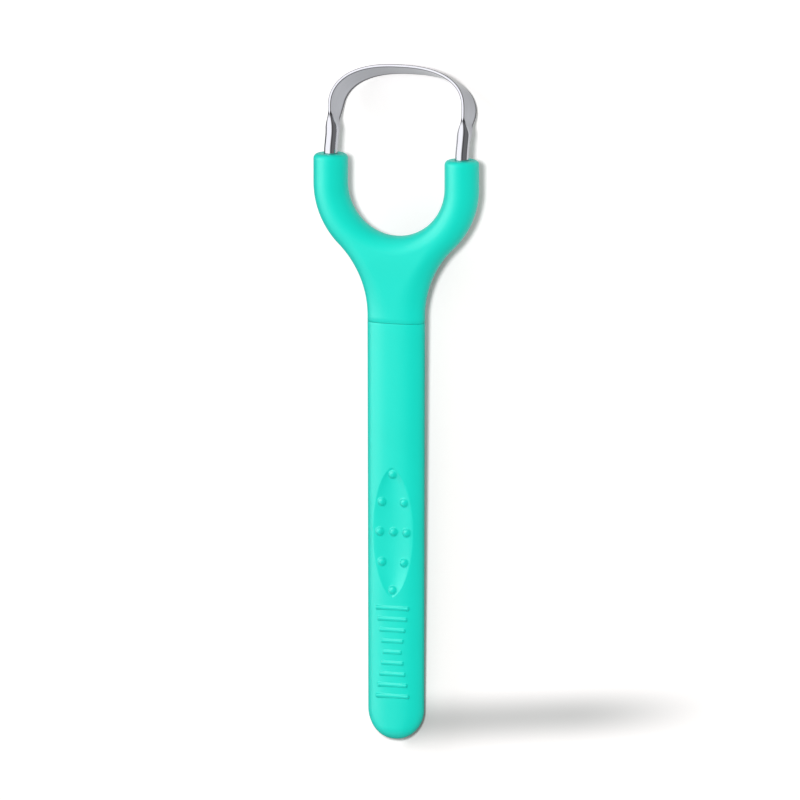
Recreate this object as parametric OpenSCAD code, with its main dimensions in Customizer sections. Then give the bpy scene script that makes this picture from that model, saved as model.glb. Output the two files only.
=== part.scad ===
// Tongue scraper: a stainless steel loop in a forked head that plugs into a soft-covered handle.
// It lies on its back: X across, Y from the tail to the loop, Z up out of the finger pad.

/* [Handle] */
// Length from the tail's end to the seam
handle_len = 106; // [95:1:125]
// Width at the seam
handle_w = 14.8; // [13.6:0.1:16.5]
// Width where the tail's rounding starts
tail_w = 14.4; // [13:0.1:16]
// Thickness
handle_t = 6.8; // [6.2:0.1:8.4]
// Length of the tail's rounded end
tail_len = 7.8; // [5:0.1:12]
// Roundness of the section: 2 is an ellipse, more is squarer
section_power = 2.4; // [2.2:0.1:3.4]
// Open line between the head and the handle
seam_gap = 0.25; // [0.1:0.05:0.5]

/* [Finger pad] */
// Distance of the pad's centre from the tail's end
pad_y = 53; // [50:0.5:56]
// Length of the dished pad
pad_len = 32.8; // [26:0.2:34]
// Width of the dished pad
pad_w = 10.9; // [9:0.1:11.5]
// Depth of the dish
pad_depth = 1.1; // [0.3:0.05:1.2]
// Diameter of a nub
nub_d = 2.4; // [1.6:0.1:2.8]
// How far a nub stands out of the dish
nub_rise = 0.75; // [0.4:0.05:1]

/* [Grip ribs] */
// Number of ribs
rib_count = 9; // [5:2:11]
// Distance of the middle rib from the tail's end
rib_y = 22.6; // [20:0.1:23]
// Distance from one rib to the next
rib_pitch = 2.8; // [2.2:0.1:3]
// Length of the end ribs
rib_long = 8.7; // [7:0.1:10]
// Length of the middle rib
rib_short = 4.9; // [3:0.1:6]
// Width of a rib
rib_w = 1.1; // [0.8:0.1:1.4]
// How far a rib stands out at the middle of the face
rib_rise = 0.3; // [0.2:0.05:0.4]

/* [Fork] */
// Distance between the arms' centres
arm_spacing = 34.4; // [30:0.2:40]
// Diameter of an arm
arm_d = 8.7; // [8:0.1:9.6]
// Straight length of each arm above the bow
arm_straight = 7.2; // [5:0.1:12]
// Height of the bow's centre above the seam
bow_height = 34.6; // [32:0.2:40]
// Height above the seam where the flanks start to flare
flank_start = 1.5; // [0.5:0.1:3]
// Rounding of the arms' tips
tip_round = 1.25; // [0.6:0.05:1.6]
// Thickness of the soft cover on the fork
cover_wall = 1.4; // [1:0.05:1.7]
// Least rounding of the tips inside the cover
core_round = 0.3; // [0.2:0.05:0.6]

/* [Blade] */
// Diameter of the steel wire
wire_d = 3.4; // [2.4:0.1:3.6]
// Width of the flattened band
band_w = 11; // [7:0.1:12]
// Thickness of the flattened band
band_t = 0.75; // [0.5:0.05:1.2]
// Height of the loop above the arms' tips, along the loop
loop_height = 21.2; // [18:0.2:30]
// Height of the arch within the loop
arch_height = 10.8; // [9:0.2:13]
// Squareness of the arch: 2 is an ellipse, more is squarer
arch_power = 2.4; // [2:0.1:3.2]
// How far the loop leans back
loop_lean = 18; // [5:0.5:25]
// Length of each leg above the arm's tip before it starts to thin
leg_round_len = 5; // [2:0.1:7]
// How far the band sits behind the legs
band_setback = 1.4; // [0:0.1:2]
// How far the loop's sides stand out beyond the legs
loop_flare = 0.3; // [0:0.1:0.8]
// Length of each leg inside its socket
leg_depth = 10.4; // [7:0.1:11]

/* [Plug] */
// Thickness of the soft sleeve on the handle
sleeve_wall = 1.35; // [1.2:0.05:1.5]
// Width of the tang
tang_w = 7.6; // [5:0.1:8]
// Thickness of the tang
tang_t = 2.2; // [1.6:0.1:2.3]
// Length of the tang below the seam
tang_len = 20; // [12:0.5:24]
// Chamfer at the tang's end
tang_chamfer = 0.6; // [0.3:0.05:0.9]

/* [Clearances] */
// Around the tang in its socket
tang_fit = 0.05; // [0.03:0.01:0.1]
// Between the tang's end and the bottom of its socket
tang_end_gap = 0.5; // [0.3:0.1:1]
// Around a leg in its socket
leg_fit = 0.04; // [0.02:0.01:0.08]
// Below a leg's end in its socket
leg_end_gap = 0.3; // [0.2:0.1:0.6]
// Between a rigid core and its soft cover
cover_fit = 0.05; // [0.03:0.01:0.1]

/* [Hidden] */

teal = "turquoise";
overrun = 1;

// Facets: rings along a piece, and points around it. The odd number of steps round the arch and the
// half step round each ring put a flat, and not a corner, where the part rests on its back
ring_points = 32;
band_points = 20;
arch_steps = 45;
morph_steps = 11;
bend_steps = 4;
tip_steps = 4;
bow_steps = 8;
fan_steps = 6;
neck_steps = 12;
across_steps = 12;
tail_steps = 8;
pad_steps = 16;
rod_facets = 48;
bump_facets = 24;

// Power of a round section, where section_power and band_power are squarer
round_power = 2;

// Places along Y before the whole part is centred
seam_y = handle_len;
bow_y = seam_y + bow_height;
tip_y = bow_y + arm_straight;

// The fork's outline: an inner half circle, an outer arc round the same centre, and a concave flank
arm_x = arm_spacing / 2;
arm_r = arm_d / 2;
neck_x = handle_w / 2;
outer_r = arm_x + arm_r;
inner_r = arm_x - arm_r;
crotch_y = bow_y - inner_r;
flank_y = seam_y + flank_start;
flank_rise = bow_y - flank_y;
flank_r = (pow(neck_x, 2) + pow(flank_rise, 2) - pow(outer_r, 2)) / (2 * (outer_r - neck_x));
flank_x = neck_x + flank_r;
flank_angle = atan2(flank_rise, flank_x);
blend_y = crotch_y - arm_r;

// Shares that spread the rows of the web between the bow and the seam
crotch_share = 0.36;
neck_ease_share = 1.5;

// The blade's frame: it leans back about an axis just above the arms' tips, and flattens from a round
// section to a squared one
bend_r = 2 * wire_d;
bend_len = bend_r * tan(loop_lean / 2);
bend_y = tip_y + leg_fit;
lean_y = bend_y + bend_len;
leg_end_y = tip_y - leg_depth;
arch_v = loop_height - arch_height;
arch_x = arm_x + loop_flare;
// Share of the shoulder's length at which the thinning ends, and the shares of the loop's height
// between which the band widens
thin_end_share = 0.8;
widen_start_share = 0.15;
widen_end_share = 0.6;
band_power = 6;

// The finger pad's pointed outline, and the nubs' places as shares of its half length and half width
pad_point_power = 0.62;
nub_shares = [[0, 0.9], [-0.54, 0.466], [0.54, 0.466], [-0.65, 0], [0, 0], [0.65, 0],
              [-0.54, -0.466], [0.54, -0.466], [0, -0.9]];

// Depth of a nub's foot, as a share of the wall that the dish leaves below it
nub_foot_share = 0.6;

// Shares of the tail's quarter turn at which its outer and inner skins start, so that no ring is a point
tail_start_share = 0.12;
tail_inner_start_share = 0.3;

function mix(a, b, f) = a + (b - a) * f;
function clamp01(f) = min(max(f, 0), 1);
function smooth(f) = let (c = clamp01(f)) c * c * (3 - 2 * c);
function signed_power(c, p) = sign(c) * pow(abs(c), p);
function super(q, p) = pow(1 - pow(clamp01(abs(q)), p), 1 / p);

// Triangles of the strip between two rows of the same length
function quad(a, b, c, d, flip) = flip ? [[a, c, b], [a, d, c]] : [[a, b, c], [a, c, d]];

// A closed solid through rings of points, with flat ends
module loft(rings) {
    n = len(rings);
    m = len(rings[0]);
    points = [for (r = rings) each r];
    sides = [for (i = [0:n - 2], j = [0:m - 1])
        each quad(i * m + j, (i + 1) * m + j, (i + 1) * m + (j + 1) % m, i * m + (j + 1) % m, false)];
    first = [for (j = [0:m - 1]) j];
    last = [for (j = [m - 1:-1:0]) (n - 1) * m + j];
    polyhedron(points, concat([first], sides, [last]));
}

// Puts the part on its back with its origin at the middle of the underside: the crown of the loop
// reaches furthest up and furthest back
module placed() {
    crown_angle = 180 * floor(arch_steps / 2) / arch_steps;
    crown = wire_ring(arch_uv(crown_angle), arch_out(crown_angle), 1, 1);
    top_y = max([for (p = crown) p[1]]);
    low_z = min([for (p = crown) p[2]]);
    tail_y = tail_rows(0, tail_start_share)[0];
    translate([0, -(top_y + tail_y) / 2, -low_z]) children();
}

// A rod along Y from y1 to y2
module rod(x, y1, y2, r) {
    translate([x, y2, 0]) rotate([90, 0, 0]) cylinder(h = y2 - y1, r = r, $fn = rod_facets);
}

// Half width and half thickness of the handle at y, taken in by inset all round
function half_w(y, inset) =
    let (f = clamp01((y - tail_len) / (seam_y - tail_len)),
         tail = clamp01((y - inset) / (tail_len - inset)))
    (mix(tail_w, handle_w, f) / 2 - inset) * sqrt(1 - pow(1 - tail, 2));
function half_t(y, inset) =
    (handle_t / 2 - inset) * sqrt(1 - pow(1 - clamp01((y - inset) / (handle_t / 2)), 2));

// Depth of the dish at x, y
function pad_half_w(y) =
    pad_w / 2 * pow(max(1 - pow((y - pad_y) / (pad_len / 2), 2), 0), pad_point_power);
function dish(x, y) =
    let (w = pad_half_w(y))
    w <= 0 ? 0 : pad_depth * super((y - pad_y) / (pad_len / 2), 2) * max(1 - pow(x / w, 2), 0);

// One ring of the handle: an ellipse-like section, dished on top where the pad is
function handle_ring(y, inset, dished) =
    [for (j = [0:ring_points - 1])
        let (a = -360 * (j + 0.5) / ring_points,
             x = half_w(y, inset) * signed_power(cos(a), 2 / section_power),
             z = half_t(y, inset) * signed_power(sin(a), 2 / section_power))
        [x, y, dished && z > 0 ? z - dish(x, y) : z]];

function tail_rows(inset, start_share) =
    [for (i = [0:tail_steps]) mix(inset, tail_len, 1 - cos(mix(start_share, 1, i / tail_steps) * 90))];
function pad_rows() =
    [for (i = [0:pad_steps]) pad_y - cos(180 * i / pad_steps) * pad_len / 2];

// Height of the handle's face at x, y
function face_z(x, y) =
    half_t(y, 0) * super(x / half_w(y, 0), section_power) - dish(x, y);

// Soft grip sleeve, moulded with its pad, nubs and ribs, closed at the tail
module handle_sleeve() {
    end_y = seam_y - seam_gap;
    outer = [for (y = concat(tail_rows(0, tail_start_share), pad_rows(), [end_y])) handle_ring(y, 0, true)];
    inner = [for (y = concat([end_y], [for (y = tail_rows(sleeve_wall, tail_inner_start_share)) -y]))
        handle_ring(abs(y), sleeve_wall, false)];
    bottom = [for (i = [len(inner) - 1:-1:1]) inner[i]];
    color(teal) placed() {
        loft(concat(outer, [inner[0]], bottom));
        for (s = nub_shares) nub(s[0] * pad_w / 2, pad_y + s[1] * pad_len / 2);
        for (k = [-(rib_count - 1) / 2:(rib_count - 1) / 2]) rib(k);
    }
}

// A dome that stands out of the dish, with its foot inside the wall
module nub(x, y) {
    r = nub_d / 2;
    foot = nub_foot_share * (sleeve_wall - dish(x, y));
    translate([x, y, face_z(x, y) + nub_rise - r]) intersection() {
        sphere(r = r, $fn = bump_facets);
        translate([0, 0, r - nub_rise - foot])
            cylinder(h = nub_rise + foot + overrun, r = nub_d, $fn = bump_facets);
    }
}

// A rounded rib across the face: k counts from the middle one
module rib(k) {
    length = mix(rib_short, rib_long, abs(k) / ((rib_count - 1) / 2));
    y = rib_y + k * rib_pitch;
    translate([-length / 2, y, face_z(0, y) + rib_rise - rib_w / 2])
        rotate([0, 90, 0]) cylinder(h = length, d = rib_w, $fn = bump_facets);
}

// Rigid bar inside the sleeve, with the tang's socket in its upper end
module handle_core() {
    end_y = seam_y - seam_gap;
    inset = sleeve_wall + cover_fit;
    rows = concat(tail_rows(inset, tail_inner_start_share), [end_y]);
    socket = [tang_w + 2 * tang_fit, tang_len - seam_gap + tang_end_gap + overrun, tang_t + 2 * tang_fit];
    color("whitesmoke") placed() difference() {
        loft([for (y = rows) handle_ring(y, inset, false)]);
        translate([-socket[0] / 2, end_y + overrun - socket[1], -socket[2] / 2]) cube(socket);
    }
}

// Distance of a point of the fork from the outline, which is taken in by inset
function edge_distance(x, y, inset) =
    let (bow = norm([x, y - bow_y]),
         inner = y > bow_y ? x - inner_r : bow - inner_r,
         on_flank = (x * flank_rise - (bow_y - y) * flank_x) < 0 && y < bow_y,
         outer = y > bow_y ? outer_r - x : !on_flank ? outer_r - bow
             : y < flank_y ? neck_x - x : norm([x - flank_x, y - flank_y]) - flank_r)
    min(inner, outer) - inset;

// Half thickness of the fork at x, y: full round edges on the arms, the handle's section at the seam
function fork_z(x, y, inset) =
    let (f = smooth((blend_y - y) / (blend_y - seam_y)),
         reach = mix(arm_r, neck_x, f) - inset,
         d = edge_distance(x, y, inset))
    (mix(arm_r, handle_t / 2, f) - inset) * super(1 - clamp01(d / reach), mix(round_power, section_power, f));

// Ends of the rows across one half of the fork, from the tip down to the seam: outer end, inner end
function tip_row(a, inset) =
    let (t = max(tip_round - inset, core_round),
         r = arm_r - inset - t * (1 - cos(a)),
         y = tip_y - inset - t * (1 - sin(a)))
    [[arm_x + r, y], [arm_x - r, y]];
function bow_row(a, inset) =
    [[(outer_r - inset) * cos(a), bow_y - (outer_r - inset) * sin(a)],
     [(inner_r + inset) * cos(a), bow_y - (inner_r + inset) * sin(a)]];
function flank_point(f, inset) =
    let (a = (1 - f) * flank_angle)
    [flank_x - (flank_r + inset) * cos(a), flank_y + (flank_r + inset) * sin(a)];
function fan_row(f, inset) =
    [flank_point(f * crotch_share, inset), bow_row(mix(flank_angle, 90, f), inset)[1]];
function neck_row(f, inset) =
    let (crotch = crotch_y - inset,
         g = pow(f, neck_ease_share))
    [flank_point(mix(crotch_share, 1, f), inset), [0, mix(crotch, flank_y, g)]];
function seam_row(inset) =
    [[neck_x - inset, seam_y], [0, seam_y]];

function fork_rows(inset) = concat(
    [for (i = [0:tip_steps]) tip_row(90 * (1 - i / tip_steps), inset)],
    [for (i = [0:bow_steps]) bow_row(flank_angle * i / bow_steps, inset)],
    [for (i = [1:fan_steps]) fan_row(i / fan_steps, inset)],
    [for (i = [1:neck_steps]) neck_row(i / neck_steps, inset)],
    [seam_row(inset)]);

// Points of one half and one face of the fork; the added zero keeps mirrored points at the middle equal
function fork_points(side, face, inset, hole_r) =
    let (rows = fork_rows(inset))
    concat(
        [for (j = [0:across_steps])
            let (a = 180 * j / across_steps)
            [side * (arm_x + hole_r * cos(a)), tip_y - inset, face * hole_r * sin(a) + 0]],
        [for (i = [0:len(rows) - 1], j = [0:across_steps])
            let (row = rows[i],
                 u = (1 - cos(180 * j / across_steps)) / 2,
                 p = row[0] + (row[1] - row[0]) * u,
                 round_r = (row[0][0] - row[1][0]) / 2,
                 end = j == 0 || (j == across_steps && i <= tip_steps + bow_steps + 1 + fan_steps),
                 z = end ? 0 : i <= tip_steps ? round_r * sin(180 * j / across_steps)
                     : fork_z(p[0], p[1], inset))
            [side * p[0] + 0, p[1], face * z + 0]]);

fork_row_count = tip_steps + bow_steps + fan_steps + neck_steps + 4;
row_len = across_steps + 1;
sheet_len = fork_row_count * row_len;

// Index of a point: skin 0 or 1, side 0 or 1, face 0 or 1, row i and column j
function at(skin, side, face, i, j) = ((skin * 2 + side) * 2 + face) * sheet_len + i * row_len + j;

function skin_points(inset, hole_r) =
    [for (side = [1, -1], face = [1, -1]) each fork_points(side, face, inset, hole_r)];
function skin_faces(skin) =
    [for (side = [0, 1], face = [0, 1], i = [0:fork_row_count - 2], j = [0:across_steps - 1])
        each quad(at(skin, side, face, i, j), at(skin, side, face, i + 1, j),
            at(skin, side, face, i + 1, j + 1), at(skin, side, face, i, j + 1),
            (side + face + skin) % 2 == 1)];

// Strips that join the outer skin to the inner one in row i
function rim_faces(i, turn) =
    [for (side = [0, 1], face = [0, 1], j = [0:across_steps - 1])
        each quad(at(0, side, face, i, j), at(0, side, face, i, j + 1),
            at(1, side, face, i, j + 1), at(1, side, face, i, j), (side + face + turn) % 2 == 1)];

// Soft cover of the fork: a skin with a hole in each tip for a leg, open at the seam
module fork_cover() {
    points = concat(skin_points(0, wire_d / 2 + leg_fit), skin_points(cover_wall, wire_d / 2 + leg_fit));
    last = fork_row_count - 1;
    color(teal) placed()
        polyhedron(points, concat(skin_faces(0), skin_faces(1), rim_faces(0, 0), rim_faces(last, 1)));
}

// Rigid fork inside the cover, with a socket for each leg and the tang that plugs into the handle
module fork_core() {
    last = fork_row_count - 1;
    top = [for (j = [0:across_steps]) j];
    back = [for (j = [across_steps - 1:-1:1]) j];
    tips = [[for (j = top) at(0, 0, 0, 0, j), for (j = back) at(0, 0, 1, 0, j)],
        [for (j = top) at(0, 1, 1, 0, j), for (j = back) at(0, 1, 0, 0, j)]];
    seam = [for (j = top) at(0, 0, 1, last, j), for (j = back) at(0, 1, 1, last, j),
        for (j = top) at(0, 1, 0, last, j), for (j = back) at(0, 0, 0, last, j)];
    color("whitesmoke") placed() difference() {
        union() {
            polyhedron(skin_points(cover_wall + cover_fit, wire_d / 4), concat(skin_faces(0), tips, [seam]));
            tang();
        }
        for (x = [-arm_x, arm_x]) rod(x, leg_end_y - leg_end_gap, tip_y, wire_d / 2 + leg_fit);
    }
}

// The tang, chamfered at its end
module tang() {
    w = tang_w / 2;
    end = seam_y - tang_len;
    root = seam_y + cover_wall;
    outline = [[-w, root], [w, root], [w, end + tang_chamfer], [w - tang_chamfer, end],
        [tang_chamfer - w, end], [-w, end + tang_chamfer]];
    translate([0, 0, -tang_t / 2]) linear_extrude(tang_t) polygon(outline);
}

// A point of the loop: u across, v along the loop from the tips, w out of the loop's front
function leaned(u, v, w) =
    [u, lean_y + v * cos(loop_lean) + w * sin(loop_lean), w * cos(loop_lean) - v * sin(loop_lean)];

// The arch's middle line and its outward direction at angle a, 0 at the right shoulder and 90 at the crown
function arch_uv(a) =
    [arch_x * signed_power(cos(a), 2 / arch_power), arch_v + arch_height * pow(sin(a), 2 / arch_power)];
function arch_out(a) =
    let (n = [signed_power(cos(a), 2 - 2 / arch_power) / arch_x, pow(sin(a), 2 - 2 / arch_power) / arch_height])
    n / norm(n);

// Shares of the thinning and of the widening that are done at height v up the loop
function thinning(v) = smooth((v - leg_round_len) / (thin_end_share * (arch_v - leg_round_len)));
function widening(v) =
    smooth((v / loop_height - widen_start_share) / (widen_end_share - widen_start_share));

// A section of the wire at a point of the loop, from round to the flat band: f is the share of the
// thinning that is done there, and g the share of the widening
function wire_ring(uv, out, f, g) =
    let (half_n = mix(wire_d, band_t, f) / 2,
         half_b = mix(wire_d, band_w, g) / 2,
         power = mix(round_power, band_power, f * f),
         back = band_setback * g)
    [for (j = [0:band_points - 1])
        let (a = -360 * (j + 0.5) / band_points,
             n = half_n * signed_power(cos(a), 2 / power),
             b = half_b * signed_power(sin(a), 2 / power) - back)
        leaned(uv[0] + out[0] * n, uv[1] + out[1] * n, b)];

// A round section of the right leg where it turns from straight along Y into the loop's plane; the
// first one is a little larger, so that its flats clear the rod that it stands on
function bend_ring(f) =
    let (a = loop_lean * f,
         r = wire_d / 2 + leg_fit * (1 - f),
         y = bend_y + bend_r * sin(a),
         z = -bend_r * (1 - cos(a)))
    [for (j = [0:band_points - 1])
        let (t = -360 * (j + 0.5) / band_points, b = r * sin(t))
        [arm_x + r * cos(t), y + b * sin(a), z + b * cos(a)]];

// Polished steel loop: a round wire in the sockets, bent back at the tips and flattened into a band
module scraper_blade() {
    leg = [for (i = [0:bend_steps - 1]) bend_ring(i / bend_steps)];
    morph = [for (i = [0:morph_steps])
        let (t = i / morph_steps,
             x = mix(arm_x, arch_x, smooth(t)),
             v = mix(max(widen_start_share * loop_height, bend_len), arch_v, t))
        wire_ring([x, v], [1, 0], thinning(v), widening(v))];
    arch = [for (i = [1:arch_steps - 1])
        let (a = 180 * i / arch_steps, uv = arch_uv(a))
        wire_ring(uv, arch_out(a), 1, widening(uv[1]))];
    left = [for (ring = concat(leg, morph)) [for (p = ring) [-p[0], p[1], p[2]]]];
    color("silver") placed() {
        loft(concat(leg, morph, arch, [for (i = [len(left) - 1:-1:0]) left[i]]));
        for (x = [-arm_x, arm_x]) rod(x, leg_end_y, bend_y + leg_fit, wire_d / 2);
    }
}

scraper_blade();
fork_cover();
fork_core();
handle_sleeve();
handle_core();
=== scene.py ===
# %% [markdown]
# # A tongue scraper
#
# A polished steel loop sits in a forked head with a soft teal skin. The head plugs into a slim handle
# with a soft teal sleeve, a dished finger pad and a row of grip ribs. This notebook dresses the packed
# model of it: the three pieces that show are worked out with numpy, the two cores inside them stay as
# packed, and every finish is a node-based material.

import math

import bmesh
import bpy
import numpy as np
from mathutils import Matrix, Vector


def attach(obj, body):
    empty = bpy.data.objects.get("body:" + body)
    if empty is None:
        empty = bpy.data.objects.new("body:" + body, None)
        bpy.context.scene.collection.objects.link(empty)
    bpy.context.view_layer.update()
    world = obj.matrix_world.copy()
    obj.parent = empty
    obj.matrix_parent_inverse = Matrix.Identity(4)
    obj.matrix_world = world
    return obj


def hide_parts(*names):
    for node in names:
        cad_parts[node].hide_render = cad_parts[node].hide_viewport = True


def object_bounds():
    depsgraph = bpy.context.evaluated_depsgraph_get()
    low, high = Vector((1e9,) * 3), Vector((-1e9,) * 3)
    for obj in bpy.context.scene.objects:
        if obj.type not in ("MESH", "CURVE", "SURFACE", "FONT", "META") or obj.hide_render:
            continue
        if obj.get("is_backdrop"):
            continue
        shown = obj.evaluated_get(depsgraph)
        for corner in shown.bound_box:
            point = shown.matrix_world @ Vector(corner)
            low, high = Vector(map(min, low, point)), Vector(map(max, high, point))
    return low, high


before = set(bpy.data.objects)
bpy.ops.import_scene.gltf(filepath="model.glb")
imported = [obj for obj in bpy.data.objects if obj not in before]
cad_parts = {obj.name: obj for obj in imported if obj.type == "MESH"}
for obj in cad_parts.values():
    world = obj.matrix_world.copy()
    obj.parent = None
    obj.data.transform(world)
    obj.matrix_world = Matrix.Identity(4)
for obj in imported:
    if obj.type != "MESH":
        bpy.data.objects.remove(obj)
low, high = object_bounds()
cad_box = [[float(c) for c in low], [float(c) for c in high]]
print("the model's box in mm:", [[round(1000 * c, 2) for c in corner] for corner in cad_box])

# %% [markdown]
# ## From sizes to a mesh
#
# Each piece repeats the source's sizes, in metres. The source counts Y from the tail's end and Z from the
# handle's middle plane, and then lays the part on its back, so one shift carries all its places over.
#
# A shape here is a grid: rows of points, each with the same number of columns. One helper joins each
# point with its neighbours into quads and hands all of it to Blender at once. Where a row closes to a
# point, or two grids meet, the doubled points are merged, so that no seam or pole stays open.

# %% Units, the shift and small helpers
MM = 0.001
SHIFT = np.array([0, -85.3446, 13.1526]) * MM
tiny = 1e-9  # keeps a division from one by zero


def clamp(values, bottom=0.0, top=1.0):
    return np.minimum(np.maximum(values, bottom), top)


def mix(a, b, f):
    """a where the share f is 0, b where it is 1, and evenly in between."""
    return a + (b - a) * f


def smooth_step(values):
    """3t² - 2t³ with t held between 0 and 1."""
    t = clamp(values)
    return t * t * (3 - 2 * t)


def signed_power(c, p):
    """|c|^p with the sign of c."""
    return np.sign(c) * np.abs(c) ** p


def points_at(x, y, z):
    """Points from arrays of x, y and z; one that doesn't change along a row or column is repeated."""
    return np.stack(np.broadcast_arrays(x, y, z), axis=-1)


# %% Grid helper
def grid_quads(rows, cols, wrap, first=0):
    """Quad (i, j) joins point i*cols + j with its neighbours in row i + 1 and column j + 1."""
    span = cols if wrap else cols - 1
    i, j = np.meshgrid(np.arange(rows - 1), np.arange(span), indexing="ij")
    k = (j + 1) % cols
    quads = np.stack([i * cols + j, i * cols + k, (i + 1) * cols + k, (i + 1) * cols + j], axis=-1)
    return quads.reshape(-1, 4) + first


def mesh_from_grids(name, grids, wrap=True, merge=1e-6, lengths=None, edges=None):
    """One smooth object from grids of points (rows, cols, 3) in the source's frame, its faces turned
    outwards. Points nearer than merge, in metres, become one."""
    points, quads, first = [], [], 0
    for grid in grids:
        rows, cols = grid.shape[:2]
        points.append(grid.reshape(-1, 3))
        quads.append(grid_quads(rows, cols, wrap, first))
        first += rows * cols
    points, quads = np.concatenate(points) + SHIFT, np.concatenate(quads)
    mesh = bpy.data.meshes.new(name)
    mesh.from_pydata(points.tolist(), [], quads.tolist())
    if lengths is not None:
        lengthwise = mesh.attributes.new("lengthwise", "FLOAT_VECTOR", "POINT")
        lengthwise.data.foreach_set("vector", lengths.ravel())
    # edges holds the share of painted shade along the band's edges, kept as an attribute
    if edges is not None:
        edge = mesh.attributes.new("edge", "FLOAT", "POINT")
        edge.data.foreach_set("value", edges.ravel())
    work = bmesh.new()
    work.from_mesh(mesh)
    bmesh.ops.remove_doubles(work, verts=work.verts, dist=merge)
    bmesh.ops.dissolve_degenerate(work, edges=work.edges, dist=merge / 4)
    bmesh.ops.recalc_face_normals(work, faces=work.faces)
    if work.calc_volume(signed=True) < 0:
        bmesh.ops.reverse_faces(work, faces=work.faces)
    open_edges = sum(1 for e in work.edges if len(e.link_faces) != 2)
    work.to_mesh(mesh)
    work.free()
    mesh.shade_smooth()
    obj = bpy.data.objects.new(name, mesh)
    bpy.context.collection.objects.link(obj)
    print(f"{name}: {len(mesh.polygons)} faces, {open_edges} edges not shared by two faces")
    return obj


# %% [markdown]
# ## The grip sleeve
#
# The sleeve is one soft moulding. Its section is a squared ellipse, |x/a|^p + |z/b|^p = 1 with p = 2.4.
# Columns lie close together on top, where the pad, the nubs and the ribs are, and rows lie close together
# along them. Sculpting would do as well, but a formula keeps each nub and rib exactly where it belongs.

# %% Sizes of the handle
handle_len = 106 * MM
handle_w = 14.8 * MM
handle_t = 6.8 * MM
tail_w = 14.4 * MM
tail_len = 7.8 * MM
tail_start = 0.138 * MM  # where the first ring stands
sleeve_wall = 1.35 * MM
section_power = 2.4

seam_y = handle_len
lip_gap = 0.05 * MM  # between the sleeve's rim and the seam
lip_depth = 2 * MM  # how far down the inner skin's first rows are
rim_round = 0.09 * MM

# %% Section of the sleeve
close_share = 0.8
traced_points = 4001


def squared(q, p):
    """Height of a squared ellipse at share q of its half width: (1 - |q|^p)^(1/p)."""
    return (1 - clamp(np.abs(q)) ** p) ** (1 / p)


def section_columns(top_count, rest_count):
    """Shares (x, z) round the section: even steps over its top, out to close_share of the half width, then
    even lengths round the rest."""
    top = np.linspace(-close_share, close_share, top_count)
    start = np.arccos(close_share ** (section_power / 2))
    angle = np.linspace(start, -np.pi - start, traced_points)
    x = signed_power(np.cos(angle), 2 / section_power)
    z = signed_power(np.sin(angle), 2 / section_power)
    steps = np.hypot(np.diff(x * handle_w), np.diff(z * handle_t))
    length = np.concatenate([[0], np.cumsum(steps)])
    even = np.linspace(0, length[-1], rest_count + 2)[1:-1]
    return (np.concatenate([top, np.interp(even, length, x)]),
            np.concatenate([squared(top, section_power), np.interp(even, length, z)]))


def half_width(y, inset=0.0):
    """Half width at y: it widens evenly to the seam, times sqrt(1 - (1 - t)²) along the tail."""
    along = clamp((y - tail_len) / (seam_y - tail_len))
    t = clamp((y - inset) / (tail_len - inset))
    return (mix(tail_w, handle_w, along) / 2 - inset) * np.sqrt(1 - (1 - t) ** 2)


def half_thickness(y, inset=0.0):
    """Half thickness at y, rounded off at the tail over half the handle's thickness."""
    t = clamp((y - inset) / (handle_t / 2))
    return (handle_t / 2 - inset) * np.sqrt(1 - (1 - t) ** 2)


# %% [markdown]
# The pad is dished between two arcs that all but meet in a point, and its edge is rolled over softly. The
# nubs are low domes that blend into the dish with a small fillet. The ribs are level bars, so their ends
# stand out further as the face rounds away below them. Separate pieces pushed into the face would leave a
# hard line round each. So all of it is one height, which each form is laid over in turn.

# %% Sizes of the pad and the nubs
pad_y = 53 * MM
pad_len = 32.8 * MM
pad_w = 10.9 * MM
pad_depth = 1.1 * MM
pad_point = 0.62  # 0.5 would make the pad an ellipse, and more narrows its ends
pad_roll = 0.15  # how far its edge is rolled over

nub_d = 2.4 * MM
nub_rise = 0.75 * MM
nub_fillet = 0.15 * MM
nub_skirt = 2  # slope at which a nub's side goes down past its edge, into the face
nub_reach = 1.6  # radii from a nub's middle past which it changes nothing
# Each row of nubs: its share of the pad's half length, and its nubs' shares of the half width
nub_rows = [(0.9, (0,)), (0.466, (-0.54, 0.54)), (0, (-0.65, 0, 0.65)),
            (-0.466, (-0.54, 0.54)), (-0.9, (0,))]
nub_places = [(across * (pad_w / 2), along * (pad_len / 2) + pad_y)
              for along, row in nub_rows for across in row]
print(len(nub_places), "nubs on the pad")

# %% Sizes of the ribs
rib_count = 9
rib_y = 22.6 * MM
rib_pitch = 2.8 * MM
rib_long = 8.7 * MM
rib_short = 4.9 * MM
rib_w = 1.1 * MM
rib_rise = 0.3 * MM
rib_end = 0.25 * MM  # how far before a rib's end its round starts
rib_end_slope = 1.9  # how many times shorter that round is than the rib's own
rib_fillet = 0.1 * MM
rib_skirt = 3  # as nub_skirt
rib_reach = 2  # as nub_reach


# %% Relief of the pad, the nubs and the ribs
def dish(x, y):
    """Depth of the pad: pad_depth·sqrt(1 - v²)·q·(1 + s)·q/(q + s) with q = 1 - u². Here v runs along the
    pad and u across it, each from -1 to 1, and s is pad_roll."""
    v = (y - pad_y) / (pad_len / 2)
    width = pad_w / 2 * clamp(1 - v ** 2) ** pad_point
    u = np.where(width > 0, x / np.maximum(width, tiny), 2)
    q = clamp(1 - u ** 2)
    return pad_depth * np.sqrt(clamp(1 - v ** 2)) * (1 + pad_roll) * q * q / (q + pad_roll)


def face_height(x, y):
    """Height of the sleeve's face above the middle plane, with the dish taken out."""
    return half_thickness(y) * squared(x / np.maximum(half_width(y), tiny), section_power) - dish(x, y)


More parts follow.
